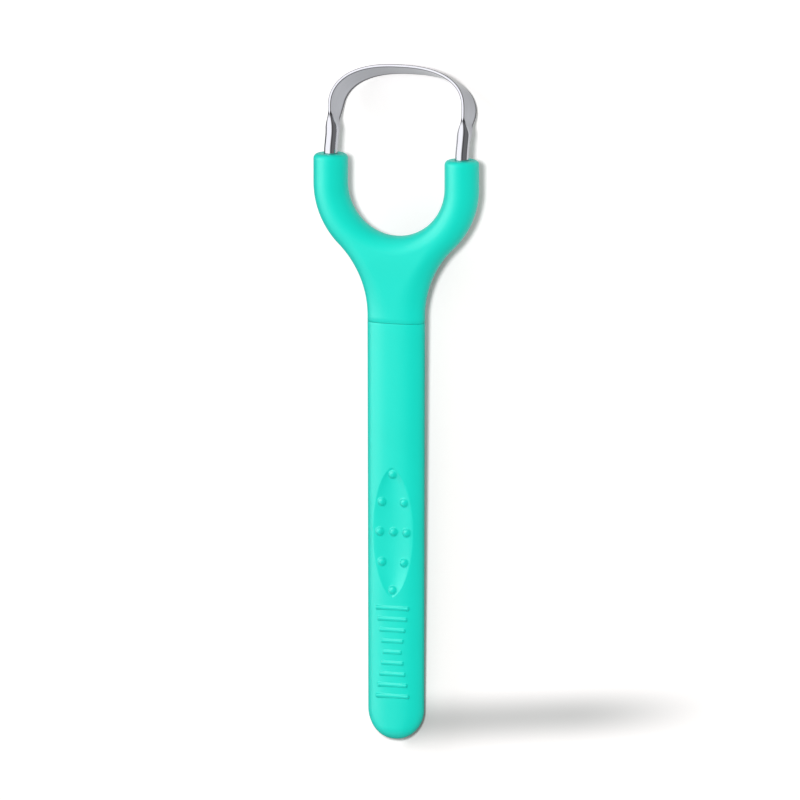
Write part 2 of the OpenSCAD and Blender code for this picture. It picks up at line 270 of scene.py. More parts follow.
def soft_max(a, b, k):
    """The larger of a and b, plus a fillet k·(1 - |d|)²/2 where they meet, with d = (a - b)/2k."""
    d = clamp((a - b) / (2 * k), -1, 1)
    return np.maximum(a, b) + k * (1 - np.abs(d)) ** 2 / 2


def round_top(top, r, away, skirt):
    """Height of a round top at a distance away from its middle: top - r + sqrt(r² - away²) as far as r, and
    from there down at the slope of the skirt."""
    return top - r + np.sqrt(np.maximum(r * r - away ** 2, 0)) - skirt * np.maximum(away - r, 0)


def nub_relief(x, y, z):
    """The height z with a ball laid over it at each nub's place. Its top is nub_rise above the dish."""
    r = nub_d / 2
    for nub_x, nub_y in nub_places:
        top = face_height(nub_x, nub_y) + nub_rise
        away = np.hypot(x - nub_x, y - nub_y)
        ball = round_top(top, r, away, nub_skirt)
        z = np.where(away < nub_reach * r, soft_max(z, ball, nub_fillet), z)
    return z


def rib_relief(x, y, z):
    """The height z with a level bar laid over it for each rib, round on top and steep at its ends. The
    middle rib is the shortest, and the length grows evenly to both sides."""
    r, outermost = rib_w / 2, (rib_count - 1) / 2
    for k in np.arange(rib_count) - outermost:
        middle_y = rib_y + k * rib_pitch
        top = face_height(0.0, middle_y) + rib_rise
        half_length = mix(rib_short, rib_long, abs(k) / outermost) / 2
        past_end = np.maximum(np.abs(x) - (half_length - rib_end), 0)
        away = np.hypot(y - middle_y, rib_end_slope * past_end)
        bar = round_top(top, r, away, rib_skirt)
        z = np.where(away < rib_reach * r, soft_max(z, bar, rib_fillet), z)
    return z


# %% Rows and columns of the sleeve
tail_count, plain_count, rim_count, inner_count = 30, 22, 6, 12
top_count, rest_count = 112, 46
rib_rows_start, rib_rows_end, rib_row_step = 9.3 * MM, 35.6 * MM, 0.14 * MM
pad_rows_start, pad_rows_end, pad_row_step = 35.8 * MM, 70.4 * MM, 0.17 * MM
plain_start, plain_end = 71 * MM, seam_y - 0.6 * MM
relief_start, face_share = 9 * MM, 0.3  # there is relief past this y and above this share of the height


def sleeve_rows():
    """Places of the rows: a quarter turn round the tail, close ones over ribs and pad, and the rest."""
    first = math.acos(1 - tail_start / tail_len)
    tail = tail_len * (1 - np.cos(np.linspace(first, np.pi / 2, tail_count)))
    ribs = np.arange(rib_rows_start, rib_rows_end, rib_row_step)
    pad = np.arange(pad_rows_start, pad_rows_end, pad_row_step)
    plain = np.linspace(plain_start, plain_end, plain_count)
    return np.concatenate([tail, ribs, pad, plain])


# %% Build the sleeve
def section_rings(columns, y, inset, share=1.0):
    """Rings of the section at each y, taken in by inset; a share of 0 closes a ring to a point."""
    y = np.asarray(y, float)[:, None]
    x = half_width(y, inset) * columns[0] * share
    z = half_thickness(y, inset) * columns[1] * share
    return points_at(x, y, z)


def sleeve_skin(columns):
    """The outer skin: the section's rings, with the dish, the nubs and the ribs laid over the top."""
    rings = section_rings(columns, sleeve_rows(), 0)
    x, y, z = rings[..., 0], rings[..., 1], rings[..., 2]
    relief = rib_relief(x, y, nub_relief(x, y, z - dish(x, y)))
    on_face = (columns[1] > face_share) & (y > relief_start)
    return points_at(x, y, np.where(on_face, relief, z))


def sleeve_rim(columns, end_y):
    """The rounded rim at the seam: a turn a takes rim_round·(1 - cos a) off half width and thickness."""
    turn = np.linspace(0, np.pi / 2, rim_count)
    rim = section_rings(columns, end_y - rim_round * (1 - np.sin(turn)), 0)
    taken_off = rim_round * (1 - np.cos(turn))[:, None, None]
    rim[..., ::2] *= 1 - taken_off / np.array([handle_w, handle_t]) * 2
    return rim


def grip_sleeve():
    """Outer skin, rim and inner skin as one run of rings, which is closed to a point at both tails."""
    columns = section_columns(top_count, rest_count)
    end_y, inner_tail = seam_y - lip_gap, sleeve_wall + tail_start
    down = tail_len - (tail_len - inner_tail) * np.sin(np.linspace(0, np.pi / 2, inner_count))
    return mesh_from_grids("grip_sleeve", [np.concatenate([
        section_rings(columns, [tail_start], 0, 0.0),
        sleeve_skin(columns),
        sleeve_rim(columns, end_y),
        section_rings(columns, np.concatenate([[end_y, end_y - lip_depth], down]), sleeve_wall),
        section_rings(columns, [inner_tail], sleeve_wall, 0.0)])])


sleeve = grip_sleeve()
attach(sleeve, "handle")
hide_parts("handle_sleeve")

# %% [markdown]
# ## The head's cover
#
# The fork is drawn from above by circles: an inner half circle between the arms, an outer arc round the
# same centre, and a concave arc down to the neck. Its thickness follows from the distance d to that
# outline: z = h·(1 - (1 - d/reach)^n)^(1/n). On the arms h and reach are the arm's radius and n is 2,
# which makes them round. Towards the seam they turn smoothly into the handle's own section. A subdivided
# cage could look the same, but circles give the photographed outline with few numbers.

# %% Sizes of the head
arm_x = 17.2 * MM
arm_r = 4.35 * MM
arm_straight = 7.2 * MM
bow_height = 34.6 * MM
flank_start = 1.5 * MM
tip_round = 1.25 * MM
inner_tip_round = 0.3 * MM  # least round of the tip, for the inner skin
cover_wall = 1.4 * MM
wire_d = 3.4 * MM
leg_fit = 0.04 * MM  # room round a leg in its hole

bow_y = seam_y + bow_height
tip_y = bow_y + arm_straight
neck_x = handle_w / 2
print("the arms' tips are", round(tip_y / MM, 1), "mm from the tail's end")

# %% Outline of the fork
outer_r, inner_r = arm_x + arm_r, arm_x - arm_r
crotch_y = bow_y - inner_r
flank_y = seam_y + flank_start
flank_rise = bow_y - flank_y
flank_r = (neck_x ** 2 + flank_rise ** 2 - outer_r ** 2) / (2 * (outer_r - neck_x))
flank_x = neck_x + flank_r
flank_angle = math.atan2(flank_rise, flank_x)
blend_y = crotch_y - arm_r


def edge_distance(x, y, inset):
    """Distance of (x, y) from the outline taken in by inset: the nearer of its inner and outer edges."""
    bow = np.hypot(x, y - bow_y)
    inner = np.where(y > bow_y, x - inner_r, bow - inner_r)
    on_flank = (x * flank_rise - (bow_y - y) * flank_x < 0) & (y < bow_y)
    flank = np.where(y < flank_y, neck_x - x, np.hypot(x - flank_x, y - flank_y) - flank_r)
    outer = np.where(y > bow_y, outer_r - x, np.where(on_flank, flank, outer_r - bow))
    return np.minimum(inner, outer) - inset


def fork_height(x, y, inset):
    """Half thickness at (x, y) by the rule above; f runs from 0 below the bow to 1 at the seam."""
    f = smooth_step((blend_y - y) / (blend_y - seam_y))
    reach = mix(arm_r, neck_x, f) - inset
    power = mix(2, section_power, f)
    q = 1 - clamp(edge_distance(x, y, inset) / reach)
    return (mix(arm_r, handle_t / 2, f) - inset) * (1 - q ** power) ** (1 / power)


# %% [markdown]
# The rows of the grid run from the tip of an arm down to the seam. Each goes from the outer edge to the
# inner one, and below the crotch to the middle. A quarter of the skin is enough, because the other three
# are its mirror images.

# %% Rows of the fork
tip_count, straight_count, bow_count, crotch_count, neck_count = 12, 9, 28, 25, 49
crotch_share = 0.36  # how far down the flank the row is that ends at the crotch
middle_crowding = 1.5  # crowds the ends in the middle towards the crotch


def on_arc(radius, angle):
    """A point of the arc of that radius round the bow's centre."""
    return np.stack([radius * np.cos(angle), bow_y - radius * np.sin(angle)], axis=-1)


def flank_points(f, inset):
    """Points down the concave flank: f is 0 where it leaves the outer arc and 1 at the neck."""
    a, r = (1 - f) * flank_angle, flank_r + inset
    return np.stack([flank_x - r * np.cos(a), flank_y + r * np.sin(a)], axis=-1)


def tip_bend(inset):
    """Radius of the bend round an arm's tip. The inner skin keeps a small one."""
    return max(tip_round - inset, inner_tip_round)


def fork_rows(inset):
    """Outer and inner end of each row, as two arrays, and then how many rows are on the tip's bend and how
    many end on the inner edge."""
    a = np.linspace(np.pi / 2, 0, tip_count)
    y = tip_y - inset - tip_bend(inset) * (1 - np.sin(a))
    straight = np.linspace(y[-1], bow_y, straight_count)[1:-1]
    y = np.concatenate([y, straight])
    width = np.full(len(y), arm_r - inset)
    width[:tip_count] -= tip_bend(inset) * (1 - np.cos(a))
    turn = np.linspace(0, flank_angle, bow_count)
    f = np.linspace(0, 1, crotch_count)[1:]
    g = np.linspace(0, 1, neck_count)[1:]
    middle = np.stack([np.zeros_like(g), mix(crotch_y - inset, flank_y, g ** middle_crowding)], axis=-1)
    outer = np.concatenate([np.stack([arm_x + width, y], axis=-1), on_arc(outer_r - inset, turn),
                            flank_points(crotch_share * f, inset),
                            flank_points(mix(crotch_share, 1, g), inset),
                            [[neck_x - inset, seam_y + rim_round], [neck_x - inset, seam_y]]])
    inner = np.concatenate([np.stack([arm_x - width, y], axis=-1), on_arc(inner_r + inset, turn),
                            on_arc(inner_r + inset, mix(flank_angle, np.pi / 2, f)), middle,
                            [[0, seam_y + rim_round], [0, seam_y]]])
    return outer, inner, tip_count, len(y) + len(turn) + len(f)


# %% A quarter of the fork's skin
fork_turn = np.linspace(0, np.pi, 45)
disc_rings = 3


def fork_patch(side, face, inset):
    """Columns lie at (1 - cos a)/2 of the way along each row, so they crowd at both ends. On the tip's bend
    a row is a half circle."""
    outer, inner, tips, edged = fork_rows(inset)
    u = (1 - np.cos(fork_turn)) / 2
    p = outer[:, None] + (inner - outer)[:, None] * u[None, :, None]
    z = fork_height(p[..., 0], p[..., 1], inset)
    tip_r = (outer[:tips, 0] - inner[:tips, 0]) / 2
    z[:tips] = tip_r[:, None] * np.sin(fork_turn)
    z[:, 0] = 0
    z[:edged, -1] = 0
    return points_at(side * p[..., 0], p[..., 1], face * z)


def tip_disc(side, face, inset):
    """Flat end of an arm, from the leg's hole out to the first row."""
    edge = arm_r - inset - tip_bend(inset)
    radii = np.linspace(wire_d / 2 + leg_fit, edge, disc_rings + 1)[:-1, None]
    x, z = arm_x + radii * np.cos(fork_turn), radii * np.sin(fork_turn)
    return points_at(side * x, tip_y - inset, face * z)


# %% Build the cover
def head_cover():
    """Each quarter is an outer skin, whose last row is drawn in by rim_round, and an inner one, joined
    round the leg's hole and at the seam."""
    grids = []
    for side in (1, -1):
        for face in (1, -1):
            outer, inner = (np.concatenate([tip_disc(side, face, inset), fork_patch(side, face, inset)])
                            for inset in (0.0, cover_wall))
            outer[-1] *= [1 - rim_round / neck_x, 1, 1 - 2 * rim_round / handle_t]
            grids += [outer, inner[::-1], np.stack([outer[0], inner[0]]), np.stack([outer[-1], inner[-1]])]
    return mesh_from_grids("head_cover", grids, wrap=False)


cover = head_cover()
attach(cover, "head")
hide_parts("fork_cover")

# %% [markdown]
# ## The steel loop
#
# One length of round wire stands in the two sockets. Above them it bends back, flattens into a thin band
# and runs round an arch. A section is a rounded rectangle: half sizes a and b, with corners of radius r.
# With a = b = r it is the round wire, so one formula serves for leg, shoulder and band, and the section
# turns from one into the other without a seam. A curve with a bevel would do for the wire, but it keeps
# one section all the way.

# %% Sizes of the loop
band_w = 11 * MM
band_t = 0.75 * MM
band_setback = 1.4 * MM  # how far the band's middle stands behind the legs'
band_corner = 0.14 * MM
least_side = 0.02 * MM  # keeps a flat between two corners
loop_height = 21.2 * MM
loop_flare = 0.3 * MM
arch_height = 10.8 * MM
arch_power = 2.4
lean = math.radians(18)
bend_r = 2 * wire_d
leg_depth = 10.4 * MM
leg_round_len = 5 * MM
foot_height, foot_share = 0.3 * MM, 0.8  # the rod's foot is tapered to this share
thin_end_share = 0.8  # of the way from the round leg to the arch, where the wire is as thin as the band
widen_start_share, widen_end_share = 0.15, 0.6  # of the loop's height

arch_x, arch_v = arm_x + loop_flare, loop_height - arch_height
bend_y = tip_y + leg_fit
lean_y = bend_y + bend_r * math.tan(lean / 2)


# %% Section of the wire
def section_shape(crowded, corner=9, face=11, edge=5):
    """Shares round a rounded rectangle: (p, q) places the corner's centre and (c, s) the point on its arc.
    Crowded points sit at tanh(3t) along a side, close to its ends, so that a flat side also shades flat."""
    arc = np.linspace(0, np.pi / 2, corner)
    sides = [np.linspace(-1, 1, n + 2)[1:-1] for n in (face, edge)]
    long_side, short_side = [np.tanh(3 * t) for t in sides] if crowded else sides
    parts = []
    for start, (p, q) in enumerate([(1, 1), (-1, 1), (-1, -1), (1, -1)]):
        a = arc + start * np.pi / 2
        parts.append(np.stack([np.full(corner, p), np.full(corner, q), np.cos(a), np.sin(a)]))
        if start % 2 == 0:
            parts.append(np.stack([-short_side * p, np.full(edge, q), np.zeros(edge), np.full(edge, q)]))
        else:
            parts.append(np.stack([np.full(face, p), -long_side * q, np.full(face, p), np.zeros(face)]))
    return np.concatenate(parts, axis=1)


EVEN, CROWDED = section_shape(False), section_shape(True)


def wire_section(f, g=None):
    """Points (n, b) of the section, n through the band and b across it. It is round where the shares f of
    the thinning and g of the widening are 0, and flat where they are 1."""
    f = np.asarray(f, float)[..., None]
    g = f if g is None else np.asarray(g, float)[..., None]
    p, q, c, s = (mix(even, crowded, f) for even, crowded in zip(EVEN, CROWDED))
    a, b = mix(wire_d, band_t, f) / 2, mix(wire_d, band_w, g) / 2
    r = np.minimum(mix(wire_d / 2, band_corner, f ** 2), np.minimum(a, b) - least_side)
    return p * (a - r) + c * r, q * (b - r) + s * r - band_setback * g


# %% Path of the loop
def thinning(v):
    """Share of the thinning at height v up the loop: a smooth step over the shoulder."""
    return smooth_step((v - leg_round_len) / (thin_end_share * (arch_v - leg_round_len)))


def widening(v):
    """Share of the widening at height v: a smooth step between two shares of the loop's height."""
    return smooth_step((v / loop_height - widen_start_share) / (widen_end_share - widen_start_share))


def leaned(u, v, w):
    """A point of the loop's leaning plane: u across, v along the loop, w out of its front."""
    return points_at(u, lean_y + v * math.cos(lean) + w * math.sin(lean),
                     w * math.cos(lean) - v * math.sin(lean))


def arch_rings(count=150):
    """Rings round the arch |u/arch_x|^p + |v/arch_height|^p = 1, each square to the arch."""
    a = np.linspace(0, np.pi, count)[1:-1]
    c, s = np.cos(a), np.clip(np.sin(a), 0, 1)
    u, v = arch_x * signed_power(c, 2 / arch_power), arch_v + arch_height * s ** (2 / arch_power)
    out = np.stack([signed_power(c, 2 - 2 / arch_power) / arch_x, s ** (2 - 2 / arch_power) / arch_height])
    out = out / np.hypot(out[0], out[1])
    n, b = wire_section(np.ones(len(a)), widening(v))
    return leaned(u[:, None] + out[0][:, None] * n, v[:, None] + out[1][:, None] * n, b)


def leg_rings(bend_count=9, shoulder_count=60):
    """Rings up the right leg: a point that closes its foot, the rod in its socket, the bend, and the
    shoulder that flattens out while it moves out to the arch."""
    n, b = wire_section(0.0)
    up = np.array([0, foot_height, leg_depth / 2, leg_depth])[:, None]
    share = np.array([foot_share, 1, 1, 1])[:, None]
    rod = points_at(arm_x + n * share, tip_y - leg_depth + up, b * share)
    a = np.linspace(0, lean, bend_count)[:-1, None]
    bend_z = b * np.cos(a) - bend_r * (1 - np.cos(a))
    bend = points_at(arm_x + n, bend_y + (bend_r + b) * np.sin(a), bend_z)
    t = np.linspace(0, 1, shoulder_count)
    v = mix(widen_start_share * loop_height, arch_v, t)
    n, b = wire_section(thinning(v), widening(v))
    shoulder = leaned(mix(arm_x, arch_x, smooth_step(t))[:, None] + n, v[:, None], b)
    foot = np.broadcast_to(rod[0].mean(axis=0), (1, *rod[0].shape))
    return np.concatenate([foot, rod, bend, shoulder])


# %% Build the loop
# The rear's tone and the dark edge below are painted shade along the band's edges
rear_start, rear_full = 0.76, 0.905  # shares of the half width between which the rear's tone comes in
round_ratio, flat_ratio = 3, 7  # a section under the first has no dark edge, and one over the second has


def painted_edge_shade(rings):
    """Share of the painted shade at each point, a dark outline along the band: 1 on the corners and along
    the band's rear, 0 on the faces, and nothing where the wire is round, told by the ratio of a ring's
    longest radius to its shortest."""
    p, q = CROWDED[:2]
    corner = np.where((np.abs(q) == 1) & (np.abs(p) == 1), 1.0, 0.0)
    rear = clamp((-q - rear_start) / (rear_full - rear_start)) * (np.abs(p) == 1)
    radius = np.linalg.norm(rings - rings.mean(axis=1)[:, None], axis=-1)
    ratio = radius.max(axis=1) / np.maximum(radius.min(axis=1), tiny)
    flat = clamp((ratio - round_ratio) / (flat_ratio - round_ratio))
    return flat[:, None] * np.maximum(corner, rear)


def steel_loop():
    """Both legs and the arch as one run of rings. Each point keeps its length along the wire and its place
    round it."""
    right = leg_rings()
    rings = np.concatenate([right, arch_rings(), right[::-1] * [-1, 1, 1]])
    steps = np.linalg.norm(np.diff(rings.mean(axis=1), axis=0), axis=1)
    length = np.concatenate([[0], np.cumsum(steps)])
    print("the wire is", round(length[-1] / MM, 1), "mm long")
    turn = np.linspace(0, 2 * np.pi, rings.shape[1], endpoint=False)
    # The band's edges get painted shade
    return mesh_from_grids("steel_loop", [rings], merge=1e-7, edges=painted_edge_shade(rings),
                           lengths=points_at(length[:, None], np.cos(turn), np.sin(turn)))


loop = steel_loop()
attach(loop, "head")
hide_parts("scraper_blade")

# %% [markdown]
# ## Finishes
#
# Three finishes cover the object. The soft skins are satin silicone with a fine moulded grain, the loop is
# polished stainless steel with a faint lengthwise grain, and the rigid cores are plain moulded plastic.
# An image of each finish would do, but it would have to be unwrapped onto each piece, and nodes read the
# object's own coordinates. The moulded grain is shared, so it is a node group with its own scale in each
# material.

# %% Shared grain group
def socket(group, name, kind, in_out, value=None):
    made = group.interface.new_socket(name=name, in_out=in_out, socket_type=kind)
    if value is not None:
        made.default_value = value


def grain_group():
    """Fine moulded grain: two noises of different size, as a height and as a light and dark mask."""
    group = bpy.data.node_groups.new("fine_grain", "ShaderNodeTree")
    socket(group, "Scale", "NodeSocketFloat", "INPUT", 4000.0)
    socket(group, "Drift scale", "NodeSocketFloat", "INPUT", 60.0)
    socket(group, "Height", "NodeSocketFloat", "OUTPUT")
    socket(group, "Drift", "NodeSocketFloat", "OUTPUT")
    nodes, links = group.nodes, group.links
    start, end = nodes.new("NodeGroupInput"), nodes.new("NodeGroupOutput")
    where = nodes.new("ShaderNodeTexCoord")
    for scale, detail, result in (("Scale", 2.0, "Height"), ("Drift scale", 3.0, "Drift")):
        noise = nodes.new("ShaderNodeTexNoise")
        noise.inputs["Detail"].default_value = detail
        links.new(where.outputs["Object"], noise.inputs["Vector"])
        links.new(start.outputs[scale], noise.inputs["Scale"])
        links.new(noise.outputs["Fac"], end.inputs[result])
    return group


GRAIN = grain_group()


# %% Helpers for materials
def grey(level):
    return (level, level, level)


def new_material(name):
    material = bpy.data.materials.new(name)
    material.use_nodes = True
    nodes, links = material.node_tree.nodes, material.node_tree.links
    return material, nodes, links, nodes["Principled BSDF"]


def add_grain(nodes, scale, drift_scale):
    grain = nodes.new("ShaderNodeGroup")
    grain.node_tree = GRAIN
    grain.inputs["Scale"].default_value = scale
    grain.inputs["Drift scale"].default_value = drift_scale
    return grain


def add_bump(nodes, links, height, shader, strength, distance):
    bump = nodes.new("ShaderNodeBump")
    bump.inputs["Strength"].default_value = strength
    bump.inputs["Distance"].default_value = distance
    links.new(height, bump.inputs["Height"])
    links.new(bump.outputs["Normal"], shader.inputs["Normal"])


def add_ramp(nodes, links, value, stops):
    """A colour ramp driven by value, with stops of (place, colour)."""
    ramp = nodes.new("ShaderNodeValToRGB")
    links.new(value, ramp.inputs["Fac"])
    for element, (place, colour) in zip(ramp.color_ramp.elements, (stops[0], stops[-1])):
        element.position, element.color = place, (*colour, 1)
    for place, colour in stops[1:-1]:
        ramp.color_ramp.elements.new(place).color = (*colour, 1)
    return ramp.outputs["Color"]


def mix_colours(nodes, links, share, a, b):
    """Colour a where share is 0 and colour b where it is 1; a and b are colours or sockets."""
    tint = nodes.new("ShaderNodeMix")
    tint.data_type = "RGBA"
    links.new(share, tint.inputs["Factor"])
    for name, value in (("A", a), ("B", b)):
        if isinstance(value, tuple):
            tint.inputs[name].default_value = (*value, 1)
        else:
            links.new(value, tint.inputs[name])
    return tint.outputs["Result"]


noise_low, noise_high = 0.3, 0.7  # most of a noise's values lie between these


def noise_ramp(nodes, links, noise, first, last):
    """From colour first at noise_low to colour last at noise_high."""
    return add_ramp(nodes, links, noise, [(noise_low, first), (noise_high, last)])


# %% [markdown]
# The skins are moulded silicone: satin, and one even colour. A flat colour would nearly do, but a faint
# drift of the tint and the gloss keeps it from looking printed. Its light on the table is made greyer than
# it would be, because the photograph's shadow is nearly neutral.

# %% Soft teal silicone
teal_deep, teal_pale = (0.0, 0.765, 0.622), (0.001, 0.795, 0.652)
teal_for_soft_rays = (0.22, 0.48, 0.45)


def soft_teal():
    """Satin silicone. To diffuse rays it is greyer, so that the table near it isn't tinted too much."""
    material, nodes, links, shader = new_material("soft_teal")
    grain = add_grain(nodes, scale=5200.0, drift_scale=55.0)
    tint = noise_ramp(nodes, links, grain.outputs["Drift"], teal_deep, teal_pale)
    gloss = noise_ramp(nodes, links, grain.outputs["Height"], first=grey(0.37), last=grey(0.45))
    path = nodes.new("ShaderNodeLightPath")
    cast = mix_colours(nodes, links, path.outputs["Is Diffuse Ray"], tint, teal_for_soft_rays)
    links.new(cast, shader.inputs["Base Color"])
    links.new(gloss, shader.inputs["Roughness"])
    shader.inputs["Specular IOR Level"].default_value = 0.4
    add_bump(nodes, links, grain.outputs["Height"], shader, strength=0.2, distance=0.03 * MM)
    return material


# %% [markdown]
# The loop is polished wire, and its band's edges are painted darker: a dark outline of painted shade.
# Anisotropic gloss would do for the polish. A fine noise in the gloss is simpler, and it follows the wire
# because the mesh carries the length along it as an attribute. A second attribute says where the painted
# dark edge is.

# %% Polished steel
steel_dark, steel_pale = (0.59, 0.59, 0.635), (0.635, 0.635, 0.68)
# The third colour below is painted shade for the band's edges
steel_edge_shade, steel_at_grazing = (0.08, 0.08, 0.09), (0.6, 0.6, 0.61)
streak_cells = (60.0, 14.0, 14.0)


def polished_steel():
    """Streaks follow the wire: noise over (length, cos, sin), about a hundred times as long as wide. The
    attribute edge lays painted shade, a darker tone, on the band's edges."""
    material, nodes, links, shader = new_material("polished_steel")
    where = nodes.new("ShaderNodeAttribute")
    where.attribute_name = "lengthwise"
    stretch = nodes.new("ShaderNodeMapping")
    stretch.inputs["Scale"].default_value = streak_cells
    streaks = nodes.new("ShaderNodeTexNoise")
    streaks.inputs["Scale"].default_value = 1.0
    streaks.inputs["Detail"].default_value = 3.0
    links.new(where.outputs["Vector"], stretch.inputs["Vector"])
    links.new(stretch.outputs["Vector"], streaks.inputs["Vector"])
    gloss = noise_ramp(nodes, links, streaks.outputs["Fac"], first=grey(0.04), last=grey(0.065))
    tint = noise_ramp(nodes, links, streaks.outputs["Fac"], steel_dark, steel_pale)
    # Painted shade along the band's edges, where the attribute edge is 1
    edge = nodes.new("ShaderNodeAttribute")
    edge.attribute_name = "edge"
    edge_shaded = mix_colours(nodes, links, edge.outputs["Fac"], tint, steel_edge_shade)
    links.new(gloss, shader.inputs["Roughness"])
    links.new(edge_shaded, shader.inputs["Base Color"])
    shader.inputs["Metallic"].default_value = 1.0
    shader.inputs["Specular Tint"].default_value = (*steel_at_grazing, 1)
    return material


# %% [markdown]
# The cores are moulded plastic and show only when the head is pulled off. The photograph doesn't show their
# colour, so it is a plain pale one, with the same grain as the skins but coarser.

# %% Rigid plastic cores
plastic_dark, plastic_pale = (0.70, 0.73, 0.73), (0.77, 0.80, 0.79)


def rigid_plastic():
    material, nodes, links, shader = new_material("rigid_plastic")
    grain = add_grain(nodes, scale=3000.0, drift_scale=90.0)
    tint = noise_ramp(nodes, links, grain.outputs["Drift"], plastic_dark, plastic_pale)
    gloss = noise_ramp(nodes, links, grain.outputs["Height"], first=grey(0.36), last=grey(0.48))
    links.new(tint, shader.inputs["Base Color"])
    links.new(gloss, shader.inputs["Roughness"])
    add_bump(nodes, links, grain.outputs["Height"], shader, strength=0.2, distance=0.05 * MM)
    return material


# %% Dress the pieces
def dress(obj, material):
    """Gives every material slot of the object this finish."""
    if not obj.material_slots:
        obj.data.materials.append(material)
    for slot in obj.material_slots:
        slot.material = material
    print(obj.name, "is finished in", material.name)


teal = soft_teal()
dress(sleeve, teal)
dress(cover, teal)
dress(loop, polished_steel())
plastic = rigid_plastic()
for node in ("fork_core", "handle_core"):
    dress(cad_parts[node], plastic)

# %% [markdown]
# ## Camera
#
# The photograph looks down on the finger pad, turned 18 degrees to the right and 10 degrees towards the
# loop, from so far away that its edges run parallel. A lens of 1200 mm at 6.67 m gives 4 pixels a
# millimetre.

# %% The camera
camera_turn, camera_tilt = 18, 10
lens_mm, sensor_mm, distance = 1200, 36, 20 / 3
aim_y, aim_aside = 86.11 * MM, 0.925 * MM


def viewing_axes(turn, tilt):
    """Right, up and back directions of a camera turned to the right and tilted towards the loop."""
    a, e = math.radians(turn), math.radians(tilt)
    right = Vector((math.cos(a), 0, -math.sin(a)))
    up = Vector((-math.sin(a) * math.sin(e), math.cos(e), -math.cos(a) * math.sin(e)))
    return right, up, right.cross(up)


right, up, back = viewing_axes(camera_turn, camera_tilt)
aim = Vector(SHIFT) + Vector((0, aim_y, 0)) + aim_aside * right
camera = bpy.data.objects.new("camera", bpy.data.cameras.new("camera"))
bpy.context.collection.objects.link(camera)
camera.data.lens, camera.data.sensor_width = lens_mm, sensor_mm
turned = Matrix((right, up, back)).transposed().to_4x4()
camera.matrix_world = Matrix.Translation(aim + distance * back) @ turned
bpy.context.scene.camera = camera
print("the camera stands at", [round(c, 3) for c in camera.matrix_world.translation])

# %% [markdown]
# ## Table and light
#
# The object lies on a pale table that touches the tail's back and the loop's rear edge. Polished steel has
# no look of its own and shows what stands round it. A photographer's tent, white on the left and dark on
# the right, gives it bright facets and dark outlines. So for reflections alone the world is such a tent,
# and the table darkens away from the loop.
#
# A soft grey shadow beside the tail, which the lamps here don't cast, is painted on the table by a formula,
# in the colour that the camera sees.

# %% The table
table_half = 3.0
table_gap = 0.05 * MM
loop_back_y = 82.1 * MM


def floor_plane():
    """A square through the two lines that the object rests on: the tail's back and the loop's rear edge."""
    tail_back = np.array([SHIFT[1] + handle_t / 2, SHIFT[2] - handle_t / 2])
    loop_back = np.array([loop_back_y, 0.0])
    along = (loop_back - tail_back) / np.hypot(*(loop_back - tail_back))
    mid = (loop_back + tail_back) / 2 - [0, table_gap]
    corners = [[x * table_half, *(mid + along * y * table_half)]
               for x, y in ((-1, -1), (1, -1), (1, 1), (-1, 1))]
    mesh = bpy.data.meshes.new("table")
    mesh.from_pydata(corners, [], [(0, 1, 2, 3)])
    obj = bpy.data.objects.new("table", mesh)
    bpy.context.collection.objects.link(obj)
    obj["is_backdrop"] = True
    return obj


# %% Helpers for the table's pattern
def step_between(nodes, links, value, start, end, kind="SMOOTHSTEP"):
    """A step of value: 0 at start and 1 at end, smooth or linear in between."""
    step = nodes.new("ShaderNodeMapRange")
    step.interpolation_type = kind
    step.inputs["From Min"].default_value, step.inputs["From Max"].default_value = start, end
    links.new(value, step.inputs["Value"])
    return step.outputs["Result"]


def calculate(nodes, links, operation, *values):
    """A Math node on sockets and numbers."""
    made = nodes.new("ShaderNodeMath")
    made.operation = operation
    for slot, value in zip(made.inputs, values):
        if isinstance(value, float):
            slot.default_value = value
        else:
            links.new(value, slot)
    return made.outputs["Value"]


# %% The painted shadow beside the tail
# A painted shadow from the tail to the right, rising a tenth of its length, with a soft edge all round
shadow_slope, shadow_y, shadow_half_w = 0.1, -81.9 * MM, 8.8 * MM
shadow_rise_start, shadow_rise_end = -1 * MM, 3 * MM
shadow_fall_start, shadow_fall_end = 44 * MM, 92 * MM


def painted_shadow_band(nodes, links, where):
    """Share of the painted shadow: 1 on the line y = shadow_y + shadow_slope·x and 0 at shadow_half_w from
    it, times a steep rise beside the tail and a long fall towards the right."""
    place = nodes.new("ShaderNodeSeparateXYZ")
    links.new(where, place.inputs["Vector"])
    x, y = place.outputs["X"], place.outputs["Y"]
    middle = calculate(nodes, links, "MULTIPLY_ADD", x, shadow_slope, shadow_y)
    away = calculate(nodes, links, "ABSOLUTE", calculate(nodes, links, "SUBTRACT", y, middle))
    across = step_between(nodes, links, away, shadow_half_w, 0.0)
    rise = step_between(nodes, links, x, shadow_rise_start, shadow_rise_end)
    fall = step_between(nodes, links, x, shadow_fall_end, shadow_fall_start)
    return calculate(nodes, links, "MULTIPLY", across, calculate(nodes, links, "MULTIPLY", rise, fall))


# %% Finish of the table
# The second colour is the painted shadow's, in the colour that the camera sees
table_shown, painted_shadow_shown = (1.16, 1.13, 1.14), (0.66, 0.655, 0.66)
table_for_soft_rays = (0.6, 0.6, 0.61)
mirrored_near, mirrored_far = grey(1.0), (0.15, 0.15, 0.155)
mirror_middle = (14 * MM, 62 * MM, 0)
pale_reach, dark_reach = 34 * MM, 50 * MM


